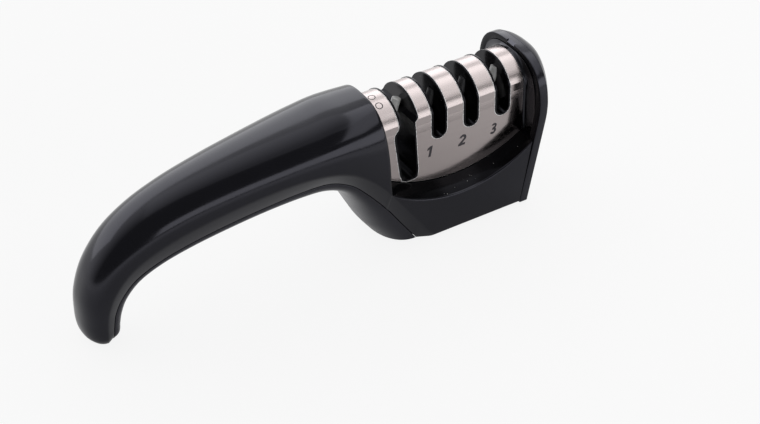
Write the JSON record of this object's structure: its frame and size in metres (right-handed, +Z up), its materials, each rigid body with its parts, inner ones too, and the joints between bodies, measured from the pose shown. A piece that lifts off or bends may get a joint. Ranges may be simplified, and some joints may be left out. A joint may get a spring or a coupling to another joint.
{
  "type": "knife sharpener",
  "caption": "Pull-through knife and scissors sharpener with a swan-neck handle, a slotted brushed steel cover, crossed rods and an end guard.",
  "frame": {"origin": "the middle of the head's length and width, on the surface that the sharpener stands on", "axes": "+X from the handle to the guard, +Z up, -Y the side with the numerals"},
  "size_m": [0.2236, 0.0484, 0.0719],
  "materials": {
    "moulded_black": "satin moulded black",
    "gloss_black": "glossy moulded black",
    "brushed_steel": "finely brushed along the head",
    "ceramic": "smooth white ceramic",
    "coarse_grit": "coarse grit bonded to steel",
    "fine_grit": "fine grit bonded to steel",
    "pad_rubber": "matte",
    "screw_steel": "zinc plated"
  },
  "bodies": {
    "root": {"upper_housing": "moulded_black", "underside_cover": "moulded_black", "steel_cover": "brushed_steel", "slot_liner": "gloss_black", "rod_keeper": "moulded_black", "end_guard": "moulded_black", "end_collar": "gloss_black", "scissor_rod": "ceramic", "coarse_rod_left": "coarse_grit", "coarse_rod_right": "coarse_grit", "fine_rod_left": "fine_grit", "fine_rod_right": "fine_grit", "polish_rod_left": "ceramic", "polish_rod_right": "ceramic", "base_pad": "pad_rubber", "keeper_screws": "screw_steel", "liner_screws": "screw_steel", "guard_screws": "screw_steel", "base_screws": "screw_steel", "handle_screws": "screw_steel"}
  },
  "joints": []
}
